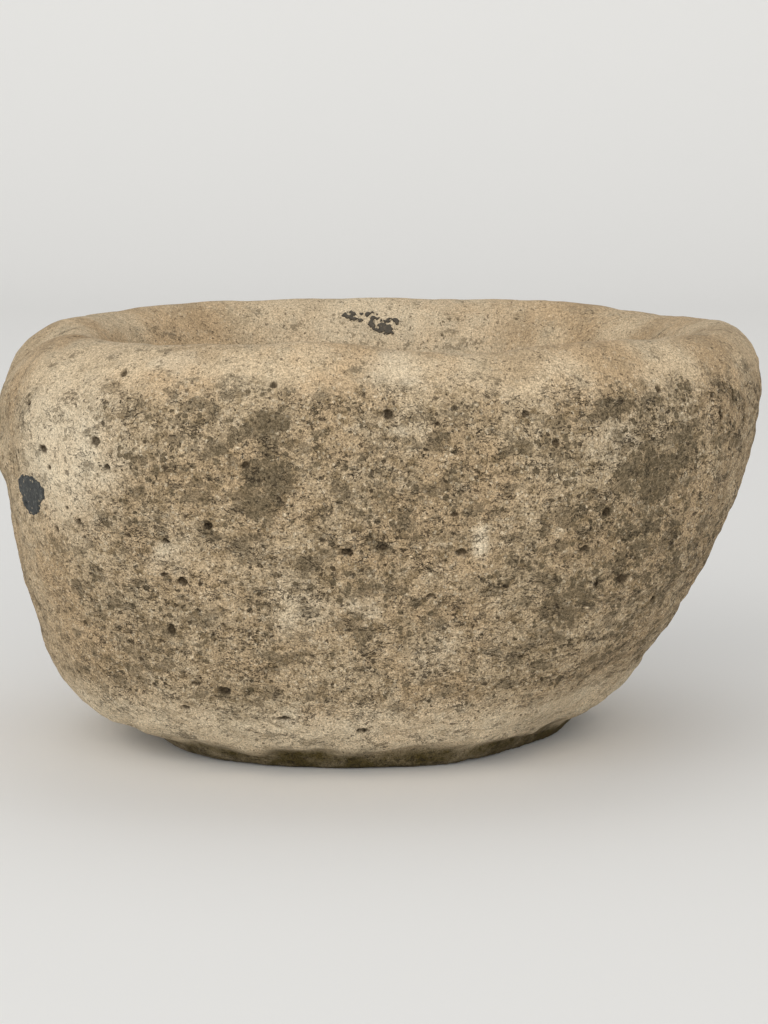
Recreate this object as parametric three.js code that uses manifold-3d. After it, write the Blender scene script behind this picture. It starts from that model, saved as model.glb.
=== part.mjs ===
// A stone mortar: one block of shelly limestone, hewn to a squarish tub with a low foot and a rounded
// rim, and hollowed out as a bowl. Two thin crusts of bitumen are stuck to it, one on the left flank and
// one inside the bowl. The stone is a single piece, so the group holds the block and the two crusts.
//
// Frame: millimetres, +Z up, origin on the ground under the middle of the block, -Y is the front.
import * as THREE from "three";
import Module from "manifold-3d";
import { LoftGeometry } from "three/addons/geometries/LoftGeometry.js";
import { mergeVertices } from "three/addons/utils/BufferGeometryUtils.js";

const wasm = await Module();
wasm.setup();

const vector = (...numbers) => new THREE.Vector3(...numbers);

// Driving dimensions.
const WIDTH = 363; // left to right, over the belly
const DEPTH = 306; // front to back, over the belly
const HEIGHT = 200; // ground to the rim's crest
const FOOT_HEIGHT = 8; // the plinth left under the body
const BOWL_DEPTH = 122; // crest to the bottom of the bowl

const BOWL_FLOOR = HEIGHT - BOWL_DEPTH;

// Mesh density: columns run round the block, rows run up the wall, over the rim and down the bowl.
const COLUMNS = 88;
const ROWS = 46;

// Stations from the body's lower edge up the outside, over the crest and down into the bowl. left and
// right are shares of half the width, front and back are shares of half the depth, and square is the
// exponent of the plan's outline: 2 is an ellipse, and higher is closer to a rectangle.
const FOOT = { left: 0.585, right: 0.525, front: 0.555, back: 0.56, square: 2.4 };
const WALL = [
  { z: FOOT_HEIGHT, left: 0.665, right: 0.58, front: 0.61, back: 0.62, square: 2.4 },
  { z: 18, left: 0.782, right: 0.64, front: 0.69, back: 0.7, square: 2.4 },
  { z: 37, left: 0.865, right: 0.71, front: 0.775, back: 0.78, square: 2.45 },
  { z: 62, left: 0.905, right: 0.778, front: 0.855, back: 0.85, square: 2.5 },
  { z: 90, left: 0.948, right: 0.857, front: 0.92, back: 0.915, square: 2.6 },
  { z: 120, left: 0.97, right: 0.93, front: 0.975, back: 0.965, square: 2.7 },
  { z: 150, left: 0.988, right: 0.975, front: 1, back: 0.995, square: 2.75 },
  { z: 172, left: 0.988, right: 0.993, front: 0.99, back: 0.995, square: 2.7 },
  { z: 189, left: 0.94, right: 0.98, front: 0.93, back: 0.95, square: 2.6 },
  { z: HEIGHT - 1, left: 0.85, right: 0.92, front: 0.855, back: 0.87, square: 2.5 },
  { z: HEIGHT - 4, left: 0.76, right: 0.825, front: 0.775, back: 0.79, square: 2.45 },
  { z: 182, left: 0.7, right: 0.745, front: 0.71, back: 0.725, square: 2.4 },
  { z: 150, left: 0.62, right: 0.665, front: 0.63, back: 0.645, square: 2.35 },
  { z: BOWL_FLOOR + 32, left: 0.51, right: 0.54, front: 0.515, back: 0.525, square: 2.25 },
  { z: BOWL_FLOOR + 9, left: 0.34, right: 0.35, front: 0.34, back: 0.34, square: 2.1 },
  { z: BOWL_FLOOR, left: 0, right: 0, front: 0, back: 0, square: 2 },
];

// Places where the hewing left the skin proud or hollow. The skin near each one moves by shift, and the
// effect dies away over spread.
const SWELLS = [
  { at: vector(140, -125, 170), spread: 70, shift: vector(-6, 7, 0) }, // front right corner, worn round
  { at: vector(95, -75, 0), spread: 55, shift: vector(-18, 10, 0) }, // the same corner of the foot
  { at: vector(-150, -110, 160), spread: 60, shift: vector(-2, -4, 0) }, // front left corner, left square
  { at: vector(-165, -10, 192), spread: 34, shift: vector(2, 0, -6) }, // low place in the left rim
  { at: vector(-150, 95, 195), spread: 50, shift: vector(-2, 1, -3) }, // low place in the back left rim
  { at: vector(150, 75, 198), spread: 50, shift: vector(0, 0, -4) }, // low place in the back right rim
  { at: vector(-35, -135, 200), spread: 34, shift: vector(0, 0, 3) }, // rise in the front rim
  { at: vector(25, -135, 200), spread: 34, shift: vector(0, 0, -3) }, // dip beside it
];
const SKEW = 0.07; // how far the right side stands back and the left side forward, radians

// Bitumen crusts: where each one's middle lies on the skin, the way the skin faces there, the crust's
// half width and half height, and how deeply its outline is lobed.
const CRUST_GAP = 0.3; // clear of the stone
const CRUST_THICKNESS = 1.1;
const CRUSTS = [
  {
    name: "bitumen_flank",
    at: vector(-156.5, -100, 129.5),
    facing: vector(-0.87, -0.47, -0.18),
    half: [15, 10],
    lobes: 0.12,
  },
  {
    name: "bitumen_bowl",
    at: vector(-3, 115, 188.5),
    facing: vector(0.05, -0.82, 0.57),
    half: [12.5, 5.5],
    lobes: 0.35,
  },
];

// The outline of a ring with the given reach on each side, at an angle round it.
function outlinePoint(angle, { z, left, right, front, back, square }) {
  const across = Math.cos(angle);
  const along = Math.sin(angle);
  const stretch = (Math.abs(across) ** square + Math.abs(along) ** square) ** (-1 / square);
  return vector(
    stretch * across * (across > 0 ? right : left) * (WIDTH / 2),
    stretch * along * (along > 0 ? back : front) * (DEPTH / 2),
    z,
  );
}

// A point of the smooth skin, moved as the swells near it say.
function hewn(point) {
  const moved = point.clone();
  for (const { at, spread, shift } of SWELLS) {
    moved.addScaledVector(shift, Math.exp(-((point.distanceTo(at) / spread) ** 2)));
  }
  return moved;
}

// One section of the loft, counterclockwise from the right.
function section(ring) {
  const points = [];
  for (let i = 0; i < COLUMNS; i++) points.push(outlinePoint((2 * Math.PI * i) / COLUMNS, ring));
  return points;
}

// The stations joined by smooth curves, which share one parameter from the lower edge to the bowl.
const sides = new THREE.CatmullRomCurve3(WALL.map(({ left, right, z }) => vector(left, right, z / HEIGHT)));
const ends = new THREE.CatmullRomCurve3(WALL.map(({ front, back, square }) => vector(front, back, square)));

// The ring at a share of the way along the wall, from the body's lower edge to the bottom of the bowl.
function wallRing(share) {
  const { x: left, y: right, z } = sides.getPoint(share);
  const { x: front, y: back, z: square } = ends.getPoint(share);
  return { z: z * HEIGHT, left, right, front, back, square };
}

// The block's skin, closed by the flat underside and by the bottom of the bowl, where the loft shrinks to
// a point.
function blockSkin() {
  const sections = [0, FOOT_HEIGHT - 1].map((z) => section({ ...FOOT, z }).map((point) => hewn(point).setZ(z)));
  for (let i = 0; i <= ROWS; i++) sections.push(section(wallRing(i / ROWS)).map(hewn));
  return new LoftGeometry(sections, { capStart: true }).rotateZ(SKEW);
}

// A closed geometry as a solid, once its vertices have moved out along their normals by growth.
function solid(geometry, growth = 0) {
  const bare = new THREE.BufferGeometry().setAttribute("position", geometry.attributes.position);
  const merged = mergeVertices(geometry.index ? bare.setIndex(geometry.index) : bare, 1e-3);
  merged.computeVertexNormals();
  const { position, normal } = merged.attributes;
  for (let i = 0; i < position.count; i++) {
    const moved = vector().fromBufferAttribute(position, i);
    moved.addScaledVector(vector().fromBufferAttribute(normal, i), growth);
    position.setXYZ(i, ...moved);
  }
  const [vertProperties, triVerts] = [position.array, Uint32Array.from(merged.index.array)];
  return new wasm.Manifold(new wasm.Mesh({ numProp: 3, vertProperties, triVerts }));
}

// A manifold-3d solid as a three.js geometry.
function geometryOf(body) {
  const { vertProperties, triVerts } = body.getMesh();
  const geometry = new THREE.BufferGeometry();
  geometry.setAttribute("position", new THREE.BufferAttribute(vertProperties, 3));
  geometry.setIndex(new THREE.BufferAttribute(triVerts, 1));
  return geometry;
}

// A rod with a lobed oval section, which passes through the skin at the crust's middle.
function crustRod({ at, facing, half: [halfWidth, halfHeight], lobes }) {
  const outline = [];
  for (let i = 0; i < 40; i++) {
    const angle = (2 * Math.PI * i) / 40;
    const reach = 1 + lobes * (0.6 * Math.sin(3 * angle + 0.7) + 0.4 * Math.sin(5 * angle + 2.1));
    outline.push(new THREE.Vector2(halfWidth * reach * Math.cos(angle), halfHeight * reach * Math.sin(angle)));
  }
  const rod = new THREE.ExtrudeGeometry(new THREE.Shape(outline), { depth: 50, bevelEnabled: false });
  const out = facing.clone().normalize();
  const level = vector(0, 0, 1).cross(out).normalize();
  const turn = new THREE.Matrix4().makeBasis(level, out.clone().cross(level), out);
  return rod.translate(0, 0, -25).applyMatrix4(turn.setPosition(at));
}

// A crust is the layer just clear of the skin, kept only inside its rod.
function crust(place) {
  const layer = solid(blockSkin(), CRUST_GAP + CRUST_THICKNESS).subtract(solid(blockSkin(), CRUST_GAP));
  return geometryOf(layer.intersect(solid(crustRod(place))));
}

const limestone = new THREE.MeshStandardMaterial({ color: 0xb5a68b, roughness: 0.95 });
const bitumen = new THREE.MeshStandardMaterial({ color: 0x303236, roughness: 0.6 });

const mortar = new THREE.Group();

function add(name, geometry, material) {
  const mesh = new THREE.Mesh(geometry, material);
  mesh.name = name;
  mortar.add(mesh);
}

add("mortar_block", blockSkin(), limestone);
for (const place of CRUSTS) add(place.name, crust(place), bitumen);

export default mortar;
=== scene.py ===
"""A weathered limestone mortar on a pale studio floor.

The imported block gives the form. This script copies it, wears it down as struck and weathered stone,
spreads the two crusts of bitumen over it, and lights it softly. All lengths are in metres, in the
block's own frame: +Z up, -Y the front, and the ground at z = 0.
"""

import logging
import math
import random
from dataclasses import dataclass, field
from enum import Enum

import bmesh
import bpy
import numpy as np
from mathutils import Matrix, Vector, noise
from mathutils.bvhtree import BVHTree

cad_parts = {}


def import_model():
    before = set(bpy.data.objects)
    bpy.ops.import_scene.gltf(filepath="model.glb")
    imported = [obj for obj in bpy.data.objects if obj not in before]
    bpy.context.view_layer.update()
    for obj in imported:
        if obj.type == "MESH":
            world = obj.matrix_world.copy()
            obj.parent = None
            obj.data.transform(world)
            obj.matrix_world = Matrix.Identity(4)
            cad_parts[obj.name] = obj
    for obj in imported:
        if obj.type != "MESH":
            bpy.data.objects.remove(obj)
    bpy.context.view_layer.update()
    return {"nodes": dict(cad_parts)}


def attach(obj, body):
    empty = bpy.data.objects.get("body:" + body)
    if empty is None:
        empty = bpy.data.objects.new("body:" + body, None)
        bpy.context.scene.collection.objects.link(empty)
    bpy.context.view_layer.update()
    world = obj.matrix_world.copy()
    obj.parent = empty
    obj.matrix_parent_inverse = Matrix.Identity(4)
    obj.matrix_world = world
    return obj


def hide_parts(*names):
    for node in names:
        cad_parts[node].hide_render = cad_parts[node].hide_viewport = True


log = logging.getLogger("mortar")

MM = 0.001


def linear(red: int, green: int, blue: int) -> tuple[float, float, float, float]:
    """Turns a colour as a screen shows it, 0 to 255, into the linear one that shaders use.

    Args:
        red: The red share.
        green: The green share.
        blue: The blue share.

    Returns:
        The linear colour with full alpha.
    """
    shares = [part / 255 for part in (red, green, blue)]
    opened = [s / 12.92 if s <= 0.04045 else ((s + 0.055) / 1.055) ** 2.4 for s in shares]
    return (*opened, 1.0)


def eased(values: np.ndarray | float, low: float, high: float) -> np.ndarray:
    """Rises smoothly from 0 at low to 1 at high, and falls if low is the greater.

    Args:
        values: Any numbers, or one.
        low: Where the result is 0.
        high: Where the result is 1.

    Returns:
        The eased numbers, from 0 to 1.
    """
    share = np.clip((values - low) / (high - low), 0, 1)
    return share * share * (3 - 2 * share)


class Value:
    """A shader socket that takes part in Python arithmetic."""

    def __init__(self, graph: "Graph", socket: bpy.types.NodeSocket) -> None:
        """Wraps one output socket of a graph.

        Args:
            graph: The graph that gets any new node.
            socket: The socket.
        """
        self.graph = graph
        self.socket = socket

    def _math(self, operation: str, first: "Value | float", second: "Value | float") -> "Value":
        """Adds a Math node.

        Args:
            operation: What the node does.
            first: Its first input.
            second: Its second input.

        Returns:
            The node's result.
        """
        node = self.graph.node("ShaderNodeMath", {"operation": operation}, {0: first, 1: second})
        return Value(self.graph, node.outputs[0])

    def __add__(self, other: "Value | float") -> "Value":
        """Adds."""
        return self._math("ADD", self, other)

    def __radd__(self, other: float) -> "Value":
        """Adds, with the number first."""
        return self._math("ADD", other, self)

    def __sub__(self, other: "Value | float") -> "Value":
        """Subtracts."""
        return self._math("SUBTRACT", self, other)

    def __rsub__(self, other: float) -> "Value":
        """Subtracts from a number."""
        return self._math("SUBTRACT", other, self)

    def __mul__(self, other: "Value | float") -> "Value":
        """Multiplies."""
        return self._math("MULTIPLY", self, other)

    def most(self, other: "Value | float") -> "Value":
        """Takes the greater of two values.

        Args:
            other: The other value.

        Returns:
            The greater one.
        """
        return self._math("MAXIMUM", self, other)

    def band(self, low: float, high: float) -> "Value":
        """Rises smoothly from 0 at low to 1 at high, and falls if low is the greater.

        Args:
            low: Where the result is 0.
            high: Where the result is 1.

        Returns:
            The result, from 0 to 1.
        """
        if low > high:
            return 1 - self.band(high, low)
        sockets = {"Value": self, "From Min": low, "From Max": high}
        node = self.graph.node("ShaderNodeMapRange", {"interpolation_type": "SMOOTHSTEP"}, sockets)
        return Value(self.graph, node.outputs[0])

    def near(self, middle: float, reach: float) -> "Value":
        """Finds where this value is close to another.

        Args:
            middle: Where the result is 1.
            reach: How far from the middle the result is 0.

        Returns:
            The result, from 0 to 1.
        """
        return self.band(middle - reach, middle) * self.band(middle + reach, middle)


class Graph:
    """One material's shader nodes."""

    def __init__(self, name: str) -> None:
        """Starts a material with a single matt surface.

        Args:
            name: The material's name.
        """
        self.material = bpy.data.materials.new(name)
        self.material.use_nodes = True
        self.tree = self.material.node_tree
        self.surface = self.tree.nodes["Principled BSDF"]
        place = self.node("ShaderNodeTexCoord", {}, {})
        self.place = Value(self, place.outputs["Object"])

    def node(self, kind: str, settings: dict, sockets: dict) -> bpy.types.Node:
        """Adds any node.

        Args:
            kind: The node's type.
            settings: The node's own settings, which are set first.
            sockets: A value or a link for each input, by name or number.

        Returns:
            The new node.
        """
        node = self.tree.nodes.new(kind)
        for key, setting in settings.items():
            setattr(node, key, setting)
        for key, value in sockets.items():
            self.feed(node.inputs[key], value)
        return node

    def feed(self, socket: bpy.types.NodeSocket, value: "Value | float | tuple") -> None:
        """Links a value to an input, or sets the input to a number or a colour.

        Args:
            socket: The input.
            value: What it gets.
        """
        if isinstance(value, Value):
            self.tree.links.new(value.socket, socket)
        else:
            socket.default_value = value

    def noise(
        self, size: float, detail: float = 2, rough: float = 0.5, place: Value | None = None
    ) -> Value:
        """Cloudy noise, about 0.5 on average.

        Args:
            size: The width of its largest clouds, in metres.
            detail: How many finer layers it has.
            rough: How strong the finer layers are.
            place: Where it is read, if not at the surface point itself.

        Returns:
            The noise.
        """
        sockets = {
            "Vector": place or self.place,
            "Scale": 1 / size,
            "Detail": detail,
            "Roughness": rough,
        }
        return Value(self, self.node("ShaderNodeTexNoise", {}, sockets).outputs["Fac"])

    def stretched(self, along: tuple[float, float, float], shift: float = 0) -> Value:
        """Squeezes and shifts the surface point, so that a pattern read there changes shape and place.

        Args:
            along: The scale along each axis, where over 1 makes the pattern narrower.
            shift: How far the point moves along every axis, in metres.

        Returns:
            The moved point.
        """
        sockets = {"Vector": self.place, "Scale": along, "Location": (shift, shift, shift)}
        return Value(self, self.node("ShaderNodeMapping", {}, sockets).outputs["Vector"])

    def warped(self, size: float, amount: float) -> Value:
        """Pushes the surface point about by noise, so that a pattern read there has ragged edges.

        Args:
            size: The width of the noise's clouds, in metres.
            amount: How far the point moves at most, in metres.

        Returns:
            The moved point.
        """
        push = self.node("ShaderNodeTexNoise", {}, {"Vector": self.place, "Scale": 1 / size})
        shift = {0: Value(self, push.outputs["Color"]), 1: (amount,) * 3, 2: self.place}
        moved = self.node("ShaderNodeVectorMath", {"operation": "MULTIPLY_ADD"}, shift)
        return Value(self, moved.outputs[0])

    def grains(self, size: float, place: Value) -> tuple[Value, Value]:
        """Scattered grains.

        Args:
            size: The mean distance between them, in metres.
            place: Where the pattern is read.

        Returns:
            The distance to the nearest grain's middle, about 0 to 1, and a number of its own.
        """
        cells = self.node("ShaderNodeTexVoronoi", {}, {"Vector": place, "Scale": 1 / size})
        own = self.node("ShaderNodeSeparateColor", {}, {0: Value(self, cells.outputs["Color"])})
        return Value(self, cells.outputs["Distance"]), Value(self, own.outputs[0])

    def painted(self, name: str) -> Value:
        """Reads a number that the mesh carries at each vertex.

        Args:
            name: The number's name.

        Returns:
            The number.
        """
        return Value(self, self.node("ShaderNodeAttribute", {"attribute_name": name}, {}).outputs["Fac"])

    def mix(self, amount: Value | float, under: Value | tuple, over: Value | tuple) -> Value:
        """Lays one colour over another.

        Args:
            amount: How much of it is laid, from 0 to 1.
            under: The colour below.
            over: The colour above.

        Returns:
            The mixed colour.
        """
        settings = {"data_type": "RGBA", "clamp_factor": True}
        node = self.node("ShaderNodeMix", settings, {0: amount, 6: under, 7: over})
        return Value(self, node.outputs[2])

    def shade(self, colour: Value, amount: Value) -> Value:
        """Brightens or darkens a colour.

        Args:
            colour: The colour.
            amount: What it is multiplied by.

        Returns:
            The new colour.
        """
        grey = self.node("ShaderNodeCombineColor", {}, {0: amount, 1: amount, 2: amount})
        settings = {"data_type": "RGBA", "blend_type": "MULTIPLY"}
        sockets = {0: 1.0, 6: colour, 7: Value(self, grey.outputs[0])}
        return Value(self, self.node("ShaderNodeMix", settings, sockets).outputs[2])

    def relief(self, height: Value, depth: float) -> None:
        """Gives the surface a fine relief.

        Args:
            height: The height, where 1 stands for depth.
            depth: The height's unit, in metres.
        """
        bump = self.node("ShaderNodeBump", {}, {"Height": height, "Distance": depth, "Strength": 1.0})
        self.feed(self.surface.inputs["Normal"], Value(self, bump.outputs[0]))


@dataclass(frozen=True)
class Limestone:
    """The finish of the block: shelly limestone, stained and pitted by weather, with painted shade in
    its pits and on its foot under the body's overhang, and painted bounce light on its lower skirt.
    """

    fresh: tuple = linear(200, 179, 147)
    warm: tuple = linear(190, 164, 129)
    pale: tuple = linear(224, 209, 181)
    grey: tuple = linear(158, 145, 121)
    grime: tuple = linear(124, 106, 78)
    film: tuple = linear(150, 131, 102)
    soot: tuple = linear(95, 83, 62)
    ash: tuple = linear(119, 105, 82)
    earth: tuple = linear(158, 131, 96)
    # The dark brown of holes and cracks, partly painted shade where it darkens pits and pores.
    pore: tuple = linear(58, 47, 32)
    # The foot's dark olive, partly algae and partly painted shade.
    algae_and_shade: tuple = linear(74, 63, 32)
    roughness: float = 0.93
    relief: float = 1.1 * MM

    def material(self) -> bpy.types.Material:
        """Builds the stone's shader.

        Returns:
            The material.
        """
        graph = Graph("weathered_limestone")
        rough = graph.painted("rough")
        stain = graph.painted("stain")
        bleach_and_bounce_light = graph.painted("bleach_and_bounce_light")

        # Noise, from clouds as wide as a hand down to single grains of sand.
        clouds = graph.noise(45 * MM, 4, 0.6)
        mottle = graph.noise(10 * MM, 5, 0.65)
        beds = graph.noise(7 * MM, 6, 0.7, graph.stretched((1, 1, 1.5)))
        crumbs = graph.noise(3 * MM, 4, 0.7)
        grit = graph.noise(1.4 * MM, 3, 0.8)
        sand = graph.noise(0.7 * MM, 1, 0.5)

        # Features, each from 0 to 1.
        calm = 1 - bleach_and_bounce_light * 0.7
        flecks, fleck_own = graph.grains(2.2 * MM, graph.warped(2 * MM, 2.2 * MM))
        flecks = flecks.band(0.5, 0.2) * fleck_own.band(0.65, 0.75) * (rough * 0.2 + 0.2)
        hollows = beds.band(0.49, 0.37) * (rough * 0.6 + 0.25) * calm
        ridges = beds.band(0.54, 0.66) * rough
        pores = self.pores(graph, rough, crumbs)
        cracks = self.cracks(graph, rough)
        soot = self.growth(graph, stain, mottle, crumbs)

        # Colours, laid on from the clean stone up.
        colour = graph.mix(clouds.band(0.4, 0.62), self.fresh, self.warm)
        colour = graph.mix(mottle.band(0.47, 0.66) * 0.5, colour, self.grey)
        colour = graph.mix(graph.painted("earth") * (mottle + 0.4), colour, self.earth)
        colour = graph.mix(stain * (mottle * 1.4 + 0.5), colour, self.film)
        # Pale where bleached; on the lower skirt this is partly painted bounce light.
        colour = graph.mix(bleach_and_bounce_light * (mottle + 0.3), colour, self.pale)
        colour = graph.mix(ridges * 0.28, colour, self.pale)
        colour = graph.mix(hollows, colour, self.grime)
        colour = graph.mix(crumbs.band(0.48, 0.34) * (rough * 0.5 + 0.25) * calm, colour, self.grime)
        colour = graph.mix(flecks, colour, self.pale)
        sooty = graph.mix(grit.band(0.42, 0.62), self.soot, self.ash)
        colour = graph.mix(soot * 0.9, colour, sooty)
        # Dark olive on the foot: partly algae, partly painted shade under the body's overhang.
        colour = graph.mix(graph.painted("damp_and_shade") * (mottle + 0.45), colour, self.algae_and_shade)
        contrast = (rough * 0.4 + 1.15) * (1 - soot * 0.4) * (1 - bleach_and_bounce_light * 0.3)
        colour = graph.shade(colour, ((grit - 0.5) * 1.3 + (sand - 0.5)) * contrast + 1)
        # Pores and holes get the dark pore colour, partly dark fill and partly painted shade inside
        # them; cracks and shell edges get it as their own dark colour.
        colour = graph.mix(pores.most(cracks) * 0.8, colour, self.pore)
        # Pits darkened by their depth: partly dark fill, partly painted shade inside them.
        colour = graph.mix(graph.painted("pit_fill_and_shade") * (crumbs + 0.35), colour, self.pore)

        graph.feed(graph.surface.inputs["Base Color"], colour)
        graph.surface.inputs["Roughness"].default_value = self.roughness
        graph.surface.inputs["Specular IOR Level"].default_value = 0.2
        coarse = mottle * 1.1 + beds * rough * 2.3 + crumbs * (rough * 0.6 + 0.35)
        holes = pores * 0.7 + cracks * 0.9
        graph.relief(coarse + grit * (rough * 0.2 + 0.2) - holes + soot * 0.15, self.relief)
        return graph.material

    def pores(self, graph: Graph, rough: Value, crumbs: Value) -> Value:
        """Pin holes, and a few the size of a seed.

        Args:
            graph: The stone's shader.
            rough: How rough the skin is, from 0 to 1.
            crumbs: Noise about a seed's width across.

        Returns:
            How much of a hole there is, from 0 to 1.
        """
        pins = graph.noise(1.7 * MM, 1, 0.5).band(0.33, 0.27) * crumbs.band(0.58, 0.5)
        holes, own = graph.grains(4.5 * MM, graph.warped(3 * MM, 4 * MM))
        holes = (holes + (crumbs - 0.5) * 0.6).band(0.26, 0.16) * own.band(0.8, 0.84)
        return (pins * (rough * 0.4 + 0.6)).most(holes * (rough * 0.9 + 0.1))

    def cracks(self, graph: Graph, rough: Value) -> Value:
        """Short ragged cracks between the stone's beds, and the curved edges of shells.

        Args:
            graph: The stone's shader.
            rough: How rough the skin is, from 0 to 1.

        Returns:
            How deep into a crack a point is, from 0 to 1.
        """
        along = graph.noise(9 * MM, 4, 0.65, graph.stretched((1, 1, 2.6), 3)).near(0.5, 0.02)
        where = graph.noise(13 * MM, 3, 0.6, graph.stretched((1, 1, 1.4), 5)).band(0.52, 0.58)
        shells = graph.noise(5 * MM, 1, 0.5, graph.stretched((1, 1, 1), 8)).near(0.46, 0.02)
        there = graph.noise(9 * MM, 3, 0.6, graph.stretched((1, 1, 1), 2)).band(0.55, 0.6)
        return (along * where * rough).most(shells * there * (rough * 0.8 + 0.1) * 0.8)

    def growth(self, graph: Graph, stain: Value, mottle: Value, crumbs: Value) -> Value:
        """Soot-grey growth, as round spots that run together and as flat plates.

        Args:
            graph: The stone's shader.
            stain: How stained the skin is, from 0 to 1.
            mottle: Noise about a finger's width across.
            crumbs: Noise about a seed's width across.

        Returns:
            How much of it there is, from 0 to 1.
        """
        level = stain * 0.9 + (mottle - 0.5) * 1.1
        spots, spot_own = graph.grains(3.3 * MM, graph.warped(2 * MM, 1.3 * MM))
        spots = (level * 1.35 - spots - spot_own * 0.85 + (crumbs - 0.5) * 0.8).band(0, 0.04)
        dots, dot_own = graph.grains(1.7 * MM, graph.warped(1 * MM, 0.8 * MM))
        dots = (level * 1.35 - dots - dot_own * 0.9 + (crumbs - 0.5)).band(0, 0.12)
        _, plate_own = graph.grains(8 * MM, graph.stretched((1, 1, 1.6)))
        plates = (level * 0.6 - plate_own + (crumbs - 0.5) * 1.3).band(0, 0.1)
        return spots.most(dots * 0.8).most(plates * 0.65)


@dataclass(frozen=True)
class Bitumen:
    """The finish of the crusts: old bitumen, dull and worn through in flecks."""

    black: tuple = linear(48, 50, 48)
    dusty: tuple = linear(104, 104, 96)
    bare: tuple = linear(168, 154, 128)
    roughness: float = 0.5
    relief: float = 0.7 * MM

    def material(self) -> bpy.types.Material:
        """Builds the bitumen's shader.

        Returns:
            The material.
        """
        graph = Graph("old_bitumen")
        lumps = graph.noise(2.4 * MM, 3, 0.6)
        dust = graph.noise(1.1 * MM, 2, 0.6)
        flecks, own = graph.grains(1.6 * MM, graph.warped(2 * MM, 1.5 * MM))
        dull = (lumps * 0.5 + dust * 0.5).band(0.52, 0.66)
        worn = flecks.band(0.45, 0.25) * own.band(0.86, 0.92)
        colour = graph.mix(dull * 0.7, self.black, self.dusty)
        colour = graph.mix(worn * 0.8, colour, self.bare)
        graph.feed(graph.surface.inputs["Base Color"], colour)
        graph.feed(graph.surface.inputs["Roughness"], self.roughness + dust * 0.3)
        graph.relief(lumps, self.relief)
        return graph.material


@dataclass(frozen=True)
class Paper:
    """The finish of the studio floor."""

    tone: tuple = linear(240, 239, 236)
    roughness: float = 0.9

    def material(self) -> bpy.types.Material:
        """Builds the floor's shader.

        Returns:
            The material.
        """
        graph = Graph("pale_paper")
        graph.surface.inputs["Base Color"].default_value = self.tone
        graph.surface.inputs["Roughness"].default_value = self.roughness
        graph.surface.inputs["Specular IOR Level"].default_value = 0.1
        return graph.material


class Mark(Enum):
    """What a patch of the surface has on it."""

    SOOT = "stain"
    # Chalk pales the stone; on the lower skirt it also paints bounce light.
    CHALK = "bleach_and_bounce_light"
    # Moss darkens the foot with algae and also paints the shade under the body's overhang.
    MOSS = "damp_and_shade"
    EARTH = "earth"


@dataclass(frozen=True)
class Patch:
    """A patch with a mark on it, by its middle and reach in millimetres."""

    mark: Mark
    x: float
    y: float
    z: float
    reach: float
    strength: float = 0.5


@dataclass(frozen=True)
class Pit:
    """A hole in the skin, by its middle and size in millimetres."""

    x: float
    y: float
    z: float
    radius: float
    depth: float
    wide: float = 1.0
    tall: float = 1.0


@dataclass(frozen=True)
class Swell:
    """A gentle rise of the skin, or a dip if its height is negative, in millimetres."""

    x: float
    y: float
    z: float
    height: float
    reach: tuple[float, float, float]

    def at(self, place: Vector) -> float:
        """Finds how far the skin moves out at a place.

        Args:
            place: The place, in millimetres.

        Returns:
            The move in millimetres.
        """
        offset = place - Vector((self.x, self.y, self.z))
        shares = [part / whole for part, whole in zip(offset, self.reach)]
        return self.height * float(eased(math.hypot(*shares), 1, 0))


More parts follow.
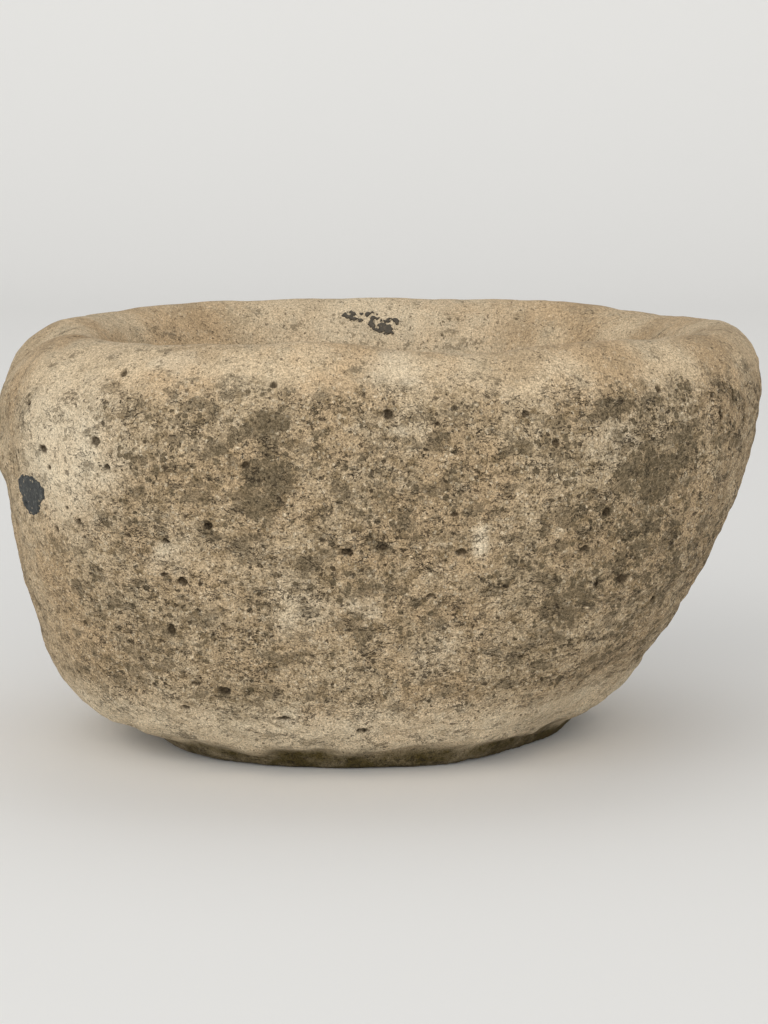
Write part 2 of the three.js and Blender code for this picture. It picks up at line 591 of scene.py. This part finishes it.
@dataclass
class Block:
    """The mortar's one block of stone.

    The relief's waves and all levels are in millimetres. A level is a pair: where a mark or a wear
    is nothing, and where it is full.
    """

    node: bpy.types.Object
    finish: Limestone = field(default_factory=Limestone)
    mesh_size: float = 2.55 * MM
    foot_height: float = 8 * MM
    pits: list[Pit] = field(default_factory=list)
    swells: list[Swell] = field(default_factory=list)
    patches: list[Patch] = field(default_factory=list)
    small_pits: int = 60
    lump_width: float = 55
    lump_height: float = 1.3
    hollow_width: float = 17
    hollow_height: float = 0.75
    bed_width: float = 12
    bed_thickness: float = 5.5
    bed_height: float = 0.55
    grain_width: float = 6.5
    grain_height: float = 0.35
    inset_height: float = 3
    inset_share: float = 0.022
    rough_wall: tuple[float, float] = (190, 172)
    worn_left_end: tuple[float, float] = (-118, -146)
    worn_skirt: tuple[float, float] = (44, 26)
    clean_rim: tuple[float, float] = (176, 188)
    # The skirt's paling is partly cleaner stone and partly painted bounce light from the floor.
    pale_and_bounce_lit_skirt: tuple[float, float] = (46, 24)
    # The foot's dark olive is partly algae and partly painted shade under the body's overhang, stronger
    # to the right.
    mossy_and_shaded_foot: tuple[float, float] = (15, 7)
    mossy_and_shaded_right: tuple[float, float] = (-280, -30)

    def build(self) -> bpy.types.Object:
        """Makes the weathered block.

        Returns:
            The finished object.
        """
        form = self.even_form()
        self.scatter(form)
        self.refine(form)
        self.wear(form)
        self.drill(form)
        self.paint(form)
        stone = new_object("limestone_block", form, self.finish.material())
        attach(stone, "root")
        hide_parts(self.node.name)
        return stone

    def even_form(self) -> bmesh.types.BMesh:
        """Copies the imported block, rounds off its facets and gives it an even mesh.

        Returns:
            The closed form.
        """
        copy = bmesh.new()
        copy.from_mesh(self.node.data)
        bmesh.ops.remove_doubles(copy, verts=copy.verts, dist=1e-5)
        bmesh.ops.join_triangles(
            copy, faces=copy.faces, angle_face_threshold=0.7, angle_shape_threshold=1.2
        )
        rough = new_object("rough_block", copy)
        rounding = rough.modifiers.new("rounding", "SUBSURF")
        rounding.levels = rounding.render_levels = 2
        rounding.use_creases = False
        evening = rough.modifiers.new("evening", "REMESH")
        evening.mode = "VOXEL"
        evening.voxel_size = self.mesh_size
        even = rough.evaluated_get(bpy.context.evaluated_depsgraph_get()).to_mesh()
        form = bmesh.new()
        form.from_mesh(even)
        bpy.data.objects.remove(rough)
        above = [v for v in form.verts if v.co.z > self.foot_height / 4]
        every_way = {"use_axis_x": True, "use_axis_y": True, "use_axis_z": True}
        for _ in range(3):
            bmesh.ops.smooth_vert(form, verts=above, factor=0.5, **every_way)
        return form

    def scatter(self, form: bmesh.types.BMesh) -> None:
        """Adds small pits at random over the outer wall.

        Args:
            form: The even form.
        """
        draw = random.Random(11)
        form.faces.ensure_lookup_table()
        places = [f.calc_center_median() / MM for f in form.faces if f.normal.z < 0.5]
        outer = [p for p in places if 25 < p.z < 186 and Vector((p.x / 1.17, p.y)).length > 118]
        scattered = []
        for place in draw.sample(outer, self.small_pits):
            size = draw.uniform(0.8, 1.5)
            wide = draw.uniform(0.8, 2.0)
            scattered.append(Pit(*place, size, size * draw.uniform(0.6, 1.5), wide))
        self.pits = self.pits + scattered

    def refine(self, form: bmesh.types.BMesh) -> None:
        """Gives the mesh finer faces round each pit.

        Args:
            form: The even form, which changes.
        """
        for _ in range(2):
            points = np.array([f.calc_center_median() for f in form.faces])
            near = np.zeros(len(points), bool)
            for pit in self.pits:
                middle = np.array((pit.x, pit.y, pit.z)) * MM
                reach = pit.radius * max(pit.wide, pit.tall) * MM * 1.3 + 1.5 * MM
                near |= ((points - middle) ** 2).sum(1) < reach**2
            form.faces.ensure_lookup_table()
            edges = {edge for index in np.flatnonzero(near) for edge in form.faces[index].edges}
            bmesh.ops.subdivide_edges(form, edges=list(edges), cuts=1, use_grid_fill=True)

    def wear(self, form: bmesh.types.BMesh) -> None:
        """Moves the skin in and out, and marks how rough each vertex is.

        Args:
            form: The form, which changes.
        """
        form.normal_update()
        layer = form.verts.layers.float.new("rough")
        for vertex in form.verts:
            place = vertex.co / MM
            rough = self.roughness(place, vertex.normal)
            free = min(1.0, vertex.co.z / (self.foot_height / 2))
            vertex.co.z += self.undercut(place) * MM
            vertex.co.xy *= 1 - self.inset_share * (1 - min(1.0, place.z / self.inset_height))
            vertex.co += vertex.normal * self.relief(place, rough) * MM * free
            vertex[layer] = rough
        form.normal_update()

    def relief(self, place: Vector, rough: float) -> float:
        """Finds how far hewing lumps, weathered hollows, beds and grain move the skin out.

        Args:
            place: A point on the skin, in millimetres.
            rough: How rough the skin is there, from 0 to 1.

        Returns:
            The move in millimetres.
        """
        wide, thick = self.bed_width, self.bed_thickness
        layer = Vector((place.x / wide, place.y / wide, place.z / thick))
        lumps = noise.fractal(place / self.lump_width, 0.8, 2.0, 2) * self.lump_height
        hollows = noise.noise(place / self.hollow_width + Vector((7, 3, 1))) * self.hollow_height
        beds = noise.noise(layer) * self.bed_height
        grain = noise.fractal(place / self.grain_width, 0.6, 2.0, 2) * self.grain_height
        swells = sum(swell.at(place) for swell in self.swells)
        return lumps + hollows + (beds + grain) * (0.5 + rough) + swells

    def undercut(self, place: Vector) -> float:
        """Finds how far the body's uneven lower edge is lifted off the foot.

        Args:
            place: A point on the skin, in millimetres.

        Returns:
            The lift in millimetres.
        """
        near = eased(place.z, 5, 9) * eased(place.z, 26, 10)
        return float(near) * (2.2 + 3.6 * noise.noise(place / 19))

    def roughness(self, place: Vector, out: Vector) -> float:
        """Finds how rough the skin has stayed: the rim and the bowl are worn smooth.

        Args:
            place: A point on the skin, in millimetres.
            out: The way that the skin faces there.

        Returns:
            From 0 where it is smooth to 1 where it is rough.
        """
        outward = Vector((place.x, place.y, 0)).normalized().dot(out)
        wave = noise.noise(place / 18) * 7
        wall = float(eased(place.z + wave, *self.rough_wall))
        left = float(eased(place.x + wave, *self.worn_left_end))
        skirt = float(eased(place.z + wave, *self.worn_skirt))
        return max(0.0, float(eased(outward, 0.1, 0.6)) * wall - left * 0.5 - skirt * 0.3)

    def drill(self, form: bmesh.types.BMesh) -> None:
        """Sinks the pits, and marks how deep each vertex lies in one.

        Args:
            form: The form, which changes.
        """
        skin = BVHTree.FromBMesh(form)
        places = np.array([v.co for v in form.verts])
        moves = np.zeros_like(places)
        depths = np.zeros(len(places))
        for pit in self.pits:
            middle, out, _, _ = skin.find_nearest(Vector((pit.x, pit.y, pit.z)) * MM)
            level = Vector((0, 0, 1)).cross(out).normalized()
            upward = out.cross(level)
            offsets = places - np.array(middle)
            across = offsets @ np.array(level) / (pit.radius * pit.wide * MM)
            along = offsets @ np.array(upward) / (pit.radius * pit.tall * MM)
            inward = offsets @ np.array(out) / (4 * pit.radius * MM)
            reach = np.sqrt(across**2 + along**2 + inward**2)
            for index in np.flatnonzero(reach < 2):
                reach[index] *= 1 + 0.35 * noise.noise(Vector(places[index]) / (1.3 * MM))
            sunk = eased(reach, 1.15, 0.45)
            moves -= np.outer(sunk * pit.depth * MM, np.array(out))
            depths = np.maximum(depths, eased(reach, 1.1, 0.7))
        # This depth darkens the pits in the shader: partly dark fill, partly painted shade.
        layer = form.verts.layers.float.new("pit_fill_and_shade")
        for vertex, move, depth in zip(form.verts, moves, depths):
            vertex.co += Vector(move)
            vertex[layer] = depth
        form.normal_update()

    def paint(self, form: bmesh.types.BMesh) -> None:
        """Marks where the stone is stained, bleached, mossy and earthy, with painted bounce light on the
        lower skirt and painted shade on the foot.

        Args:
            form: The form, which gets one number a vertex for each mark.
        """
        places = np.array([v.co for v in form.verts]) / MM
        warps = np.array([self.push(Vector(p)) for p in places])
        rise = np.array([noise.noise(Vector(p) / 30 + Vector((4, 9, 2))) for p in places])
        rough = np.array([v[form.verts.layers.float["rough"]] for v in form.verts])
        high = eased(places[:, 2] + warps[:, 2] * 0.5, *self.clean_rim)
        low = eased(places[:, 2] + warps[:, 2] * 0.5, *self.pale_and_bounce_lit_skirt)
        foot = eased(places[:, 2] + warps[:, 2] * 0.4, *self.mossy_and_shaded_foot)
        walls = np.maximum(rough, 0.3) * (1 - 0.6 * low) * (1 - 0.6 * high)
        marks = {
            Mark.SOOT: (0.38 + 0.2 * rise) * walls,
            # Chalk: the rim a little, the skirt strongly; on the skirt it is partly cleaner stone and
            # partly painted bounce light.
            Mark.CHALK: np.maximum(0.05 * high, 0.7 * low),
            # Moss: the foot, more to the right; partly algae and partly painted shade under the body's
            # overhang.
            Mark.MOSS: foot * eased(places[:, 0], *self.mossy_and_shaded_right),
            Mark.EARTH: 0.5 * (1 - rough) * eased(rise, -0.1, 0.5),
        }
        for patch in self.patches:
            offsets = places + warps - np.array((patch.x, patch.y, patch.z))
            near = eased(np.sqrt((offsets**2).sum(1)), patch.reach * 1.25, patch.reach * 0.3)
            marks[patch.mark] = np.maximum(marks[patch.mark], patch.strength * near)
        marks[Mark.SOOT] *= 1 - 0.75 * marks[Mark.CHALK]
        for mark, amounts in marks.items():
            layer = form.verts.layers.float.new(mark.value)
            for vertex, amount in zip(form.verts, amounts):
                vertex[layer] = amount

    def push(self, place: Vector) -> list[float]:
        """Finds how far the marks are pushed about at a place, so that their edges are ragged.

        Args:
            place: A point on the skin, in millimetres.

        Returns:
            The push along each axis, in millimetres.
        """
        shifts = [Vector((shift, 0, 0)) for shift in (0, 40, 80)]
        return [noise.noise(place / 14 + shift) * 9 for shift in shifts]


def new_object(
    name: str, form: bmesh.types.BMesh, material: bpy.types.Material | None = None
) -> bpy.types.Object:
    """Turns a bmesh into a smooth-shaded object at the origin.

    Args:
        name: The object's name.
        form: The shape, which is used up.
        material: Its finish, if it has one.

    Returns:
        The object.
    """
    mesh = bpy.data.meshes.new(name)
    form.to_mesh(mesh)
    form.free()
    mesh.shade_smooth()
    if material:
        mesh.materials.append(material)
    made = bpy.data.objects.new(name, mesh)
    bpy.context.scene.collection.objects.link(made)
    return made


@dataclass
class Crust:
    """A thin ragged crust of bitumen on the stone, with its sizes in millimetres."""

    node: bpy.types.Object
    name: str
    stone: bpy.types.Object
    middle: tuple[float, float, float]
    facing: tuple[float, float, float]
    drops: list[tuple[float, float, float, float]]
    ragged: float
    finish: Bitumen = field(default_factory=Bitumen)
    half_size: float = 17
    steps: int = 96
    thickness: float = 0.9
    edge_depth: float = 0.5
    lump_height: float = 0.12
    body_depth: float = 2
    search_height: float = 15

    def build(self) -> bpy.types.Object:
        """Makes the crust, spread over the worn stone.

        Returns:
            The finished object.
        """
        sheet = bmesh.new()
        bmesh.ops.create_grid(sheet, x_segments=self.steps, y_segments=self.steps, size=self.half_size)
        out = Vector(self.facing).normalized()
        level = Vector((0, 0, 1)).cross(out).normalized()
        upward = out.cross(level)
        skin = BVHTree.FromObject(self.stone, bpy.context.evaluated_depsgraph_get())
        middle = Vector(self.middle) * MM
        for vertex in sheet.verts:
            across, along, _ = vertex.co
            point = middle + (level * across + upward * along) * MM
            hit, normal, _, _ = skin.ray_cast(point + out * self.search_height * MM, -out)
            edge = self.inside(across, along)
            rise = self.thickness * edge - self.edge_depth * (1 - edge)
            rise += self.lump_height * noise.noise(Vector((across, along, 3)) / 1.3) * edge
            vertex.co = hit + normal * rise * MM
        base = bmesh.ops.extrude_face_region(sheet, geom=sheet.faces[:])
        lower = [part for part in base["geom"] if isinstance(part, bmesh.types.BMVert)]
        bmesh.ops.translate(sheet, verts=lower, vec=-out * self.body_depth * MM)
        bmesh.ops.recalc_face_normals(sheet, faces=sheet.faces)
        crust = new_object(self.name, sheet, self.finish.material())
        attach(crust, "root")
        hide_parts(self.node.name)
        return crust

    def inside(self, across: float, along: float) -> float:
        """Finds how far a place is inside the drops' ragged edge.

        Args:
            across: The place's distance to the right of the middle, in millimetres.
            along: Its distance above the middle, in millimetres.

        Returns:
            0 outside, and 1 well inside.
        """
        lengths = [
            (math.hypot((across - x) / wide, (along - y) / tall) - 1) * min(wide, tall)
            for x, y, wide, tall in self.drops
        ]
        wave = noise.fractal(Vector((across, along, 0)) / 2.6, 0.7, 2.0, 2)
        return float(eased(min(lengths) + self.ragged * wave, 0.1, -0.5))


@dataclass(frozen=True)
class Lamp:
    """A soft square light, by its place, the length of its sides, its power in watts and its aim."""

    name: str
    place: tuple[float, float, float]
    size: float
    power: float
    aim: tuple[float, float, float] = (0, 0, 0.1)

    def hang(self) -> None:
        """Hangs the light in the studio."""
        lamp = bpy.data.lights.new(self.name, "AREA")
        lamp.size = self.size
        lamp.energy = self.power
        hung = bpy.data.objects.new(self.name, lamp)
        hung.location = self.place
        beam = Vector(self.aim) - Vector(self.place)
        hung.rotation_euler = beam.to_track_quat("-Z", "Y").to_euler()
        bpy.context.scene.collection.objects.link(hung)


@dataclass
class Studio:
    """The floor, the lights and the camera."""

    lamps: list[Lamp]
    finish: Paper = field(default_factory=Paper)
    air: float = 0.5
    floor_half_width: float = 4
    floor_front: float = -9
    floor_rear: float = 2.4
    sweep_radius: float = 1.2
    sweep_angle: float = math.radians(80)
    lens: float = 110.9
    sensor: float = 36
    aside: float = 2.5 * MM
    stand_back: float = 1.5
    eye_height: float = 0.334
    look_down: float = math.radians(8.6)

    def build(self) -> None:
        """Sets up the whole studio."""
        self.floor()
        self.surroundings()
        for lamp in self.lamps:
            lamp.hang()
        self.camera()
        bpy.context.scene.view_settings.view_transform = "Standard"

    def floor(self) -> None:
        """Lays a pale floor that sweeps up a long way behind the mortar."""
        sweep = bmesh.new()
        bmesh.ops.create_grid(sweep, x_segments=1, y_segments=1, size=self.floor_half_width)
        rear = [edge for edge in sweep.edges if all(v.co.y > 0 for v in edge.verts)]
        for vertex in sweep.verts:
            vertex.co.y = self.floor_rear if vertex.co.y > 0 else self.floor_front
        middle = (0, self.floor_rear, self.sweep_radius)
        turn = {"cent": middle, "axis": (1, 0, 0), "angle": self.sweep_angle, "steps": 16}
        bmesh.ops.spin(sweep, geom=rear, **turn)
        paper = new_object("studio_floor", sweep, self.finish.material())

    def surroundings(self) -> None:
        """Fills the studio with even white light."""
        world = bpy.data.worlds.new("studio_air")
        world.use_nodes = True
        background = world.node_tree.nodes["Background"]
        background.inputs["Color"].default_value = (1, 1, 1, 1)
        background.inputs["Strength"].default_value = self.air
        bpy.context.scene.world = world

    def camera(self) -> None:
        """Sets up the camera in front and a little above."""
        eye = bpy.data.cameras.new("camera")
        eye.lens = self.lens
        eye.sensor_width = self.sensor
        held = bpy.data.objects.new("camera", eye)
        held.location = (self.aside, -self.stand_back, self.eye_height)
        held.rotation_euler = (math.pi / 2 - self.look_down, 0, 0)
        bpy.context.scene.collection.objects.link(held)
        bpy.context.scene.camera = held


PITS = [
    Pit(5, -151, 173, 2.4, 3.2),
    Pit(-111, -129, 188, 1.6, 2.4, tall=1.6),
    Pit(154, -87, 165, 2.2, 3.0, tall=1.5),
    Pit(161, -78, 172, 1.4, 2.0, wide=0.6, tall=2.2),
    Pit(150, -90, 174, 1.4, 1.6),
    Pit(-123, -137, 159, 2.2, 1.8, wide=1.3),
    Pit(-118, -140, 148, 1.6, 1.6),
    Pit(-149, -117, 153, 2.0, 1.8, wide=1.6),
    Pit(-133, -124, 121, 2.0, 2.8),
    Pit(-144, -112, 116, 1.7, 2.0),
    Pit(-93, -142, 115, 1.8, 2.8),
    Pit(-86, -137, 97, 2.2, 2.0, wide=1.2),
    Pit(-74, -148, 123, 1.7, 2.4, wide=1.3),
    Pit(-57, -154, 151, 2.0, 1.4),
    Pit(-14, -148, 112, 1.8, 2.6, wide=1.8),
    Pit(-45, -147, 185, 1.8, 1.4),
    Pit(101, -129, 126, 2.2, 2.8),
    Pit(91, -129, 110, 2.0, 1.8, wide=1.4),
    Pit(97, -120, 93, 1.4, 2.0, wide=0.6, tall=2.0),
    Pit(109, -113, 94, 2.4, 1.6, wide=1.5),
    Pit(124, -90, 81, 1.8, 2.0),
    Pit(36, -144, 111, 2.2, 2.8, wide=1.3, tall=0.8),
    Pit(-69, -119, 44, 2.2, 2.4, wide=1.5),
    Pit(-92, -126, 73, 2.0, 2.0, tall=1.5),
    Pit(-42, -115, 31, 1.2, 2.0, wide=2.8),
    Pit(-7, -110, 24, 2.0, 2.0, wide=1.6),
    Pit(-137, -64, 199, 2.0, 2.2, wide=2.2),
    Pit(64, -143, 172, 1.8, 1.2),
    Pit(77, -141, 159, 1.8, 1.4),
    Pit(124, -111, 179, 1.8, 1.4),
]

SWELLS = [
    Swell(-178, -35, 143, 4.5, (40, 70, 17)),
    Swell(-160, 0, 192, -4.0, (24, 40, 26)),
    Swell(-133, -40, 34, -1.8, (25, 60, 18)),
    Swell(102, -40, 36, -2.5, (25, 60, 20)),
    Swell(6, -152, 174, -1.2, (10, 30, 36)),
]

PATCHES = [
    Patch(Mark.SOOT, -49, -153, 169, 17, 0.85),
    Patch(Mark.SOOT, -46, -152, 146, 17, 0.9),
    Patch(Mark.SOOT, -70, -149, 123, 12, 0.54),
    Patch(Mark.SOOT, -16, -149, 141, 22, 0.45),
    Patch(Mark.SOOT, 4, -149, 136, 20, 0.5),
    Patch(Mark.SOOT, 24, -149, 142, 18, 0.45),
    Patch(Mark.SOOT, -8, -138, 75, 13, 0.5),
    Patch(Mark.SOOT, 26, -136, 72, 18, 0.45),
    Patch(Mark.SOOT, 48, -147, 172, 9, 0.54),
    Patch(Mark.SOOT, 74, -142, 156, 9, 0.68),
    Patch(Mark.SOOT, 102, -126, 172, 12, 0.68),
    Patch(Mark.SOOT, 80, -123, 86, 18, 0.8),
    Patch(Mark.SOOT, 97, -129, 128, 20, 0.68),
    Patch(Mark.SOOT, 117, -117, 142, 26, 0.85),
    Patch(Mark.SOOT, 135, -104, 151, 22, 0.72),
    Patch(Mark.SOOT, 137, -104, 171, 14, 0.54),
    Patch(Mark.SOOT, 116, -111, 115, 26, 0.72),
    Patch(Mark.SOOT, 103, -118, 98, 22, 0.63),
    Patch(Mark.SOOT, 127, -88, 92, 24, 0.59),
    Patch(Mark.SOOT, 72, -118, 62, 15, 0.5),
    Patch(Mark.SOOT, -122, -118, 106, 16, 0.54),
    Patch(Mark.SOOT, -119, -112, 84, 17, 0.45),
    Patch(Mark.SOOT, -136, -96, 76, 14, 0.41),
    Patch(Mark.SOOT, -95, -142, 132, 17, 0.45),
    Patch(Mark.CHALK, -138, -124, 152, 40, 0.85),
    Patch(Mark.CHALK, -91, -140, 108, 12, 0.5),
    Patch(Mark.CHALK, -4, -141, 88, 10, 0.6),
    Patch(Mark.CHALK, -34, -141, 86, 15, 0.45),
    Patch(Mark.CHALK, 43, -144, 114, 7, 1.0),
    Patch(Mark.CHALK, 104, -128, 156, 14, 0.45),
    Patch(Mark.CHALK, 11, -151, 166, 8, 0.45),
    Patch(Mark.CHALK, 26, -133, 62, 16, 0.4),
    Patch(Mark.CHALK, 9, -142, 194, 14, 0.5),
    Patch(Mark.CHALK, -90, -134, 197, 14, 0.6),
    Patch(Mark.CHALK, 10, 116, 188, 75, 0.4),
    Patch(Mark.MOSS, -60, -118, 36, 20, 0.22),
    Patch(Mark.EARTH, -94, 50, 170, 22, 0.8),
    Patch(Mark.EARTH, 66, 110, 184, 12, 0.8),
    Patch(Mark.SOOT, 32, 112, 182, 7, 0.6),
    Patch(Mark.SOOT, 40, 118, 190, 6, 0.55),
    Patch(Mark.SOOT, 69, 112, 192, 6, 0.5),
]

# The crusts' drops: middle across and along, half width and half height, in millimetres.
FLANK_DROPS = [
    (0.3, 2.8, 13.6, 6.8),
    (-1.0, -3.2, 9.0, 5.6),
    (-7.6, -4.6, 2.2, 2.0),
]

BOWL_DROPS = [
    (-12.6, 3.2, 2.8, 1.6),
    (-10.6, 5.0, 2.2, 1.4),
    (-8.0, 0.8, 3.6, 0.8),
    (-2.6, 4.6, 3.4, 1.4),
    (0.5, 2.3, 2.0, 2.2),
    (-0.8, -2.3, 1.6, 3.4),
    (5.6, -4.0, 4.4, 3.2),
    (8.4, -6.2, 1.8, 1.3),
    (7.7, 0.2, 2.8, 1.4),
    (11.8, 0.0, 1.9, 1.6),
]


LAMPS = [
    Lamp("front", (-1.2, -5.6, 1.9), 4.6, 155),
    Lamp("key", (-3.2, -2.6, 2.2), 3.0, 42),
    Lamp("fill", (3.2, -4.6, 1.1), 3.8, 72),
    Lamp("overhead", (0.2, 1.6, 3.6), 3.0, 18),
    Lamp("backdrop", (0, 0.6, 3.4), 2.0, 4, aim=(0, 3.6, 0.4)),
]


def main() -> None:
    """Builds the mortar and its studio."""
    logging.basicConfig(level=logging.INFO, format="%(name)s: %(message)s")
    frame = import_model()
    block = Block(frame["nodes"]["mortar_block"], pits=PITS, swells=SWELLS, patches=PATCHES)
    stone = block.build()
    log.info("block: %d triangles", sum(len(f.vertices) - 2 for f in stone.data.polygons))
    flank = Crust(
        frame["nodes"]["bitumen_flank"],
        "bitumen_on_flank",
        stone,
        middle=(-156.5, -100, 129.5),
        facing=(-0.87, -0.47, -0.18),
        drops=FLANK_DROPS,
        ragged=0.9,
    ).build()
    bowl = Crust(
        frame["nodes"]["bitumen_bowl"],
        "bitumen_in_bowl",
        stone,
        middle=(-3, 115, 188.5),
        facing=(0.05, -0.82, 0.57),
        drops=BOWL_DROPS,
        ragged=1.7,
        finish=Bitumen(black=linear(74, 67, 55), dusty=linear(112, 100, 82)),
    ).build()
    for crust in (flank, bowl):
        log.info("%s: %d faces", crust.name, len(crust.data.polygons))
    Studio(LAMPS).build()


if __name__ == "__main__":
    main()
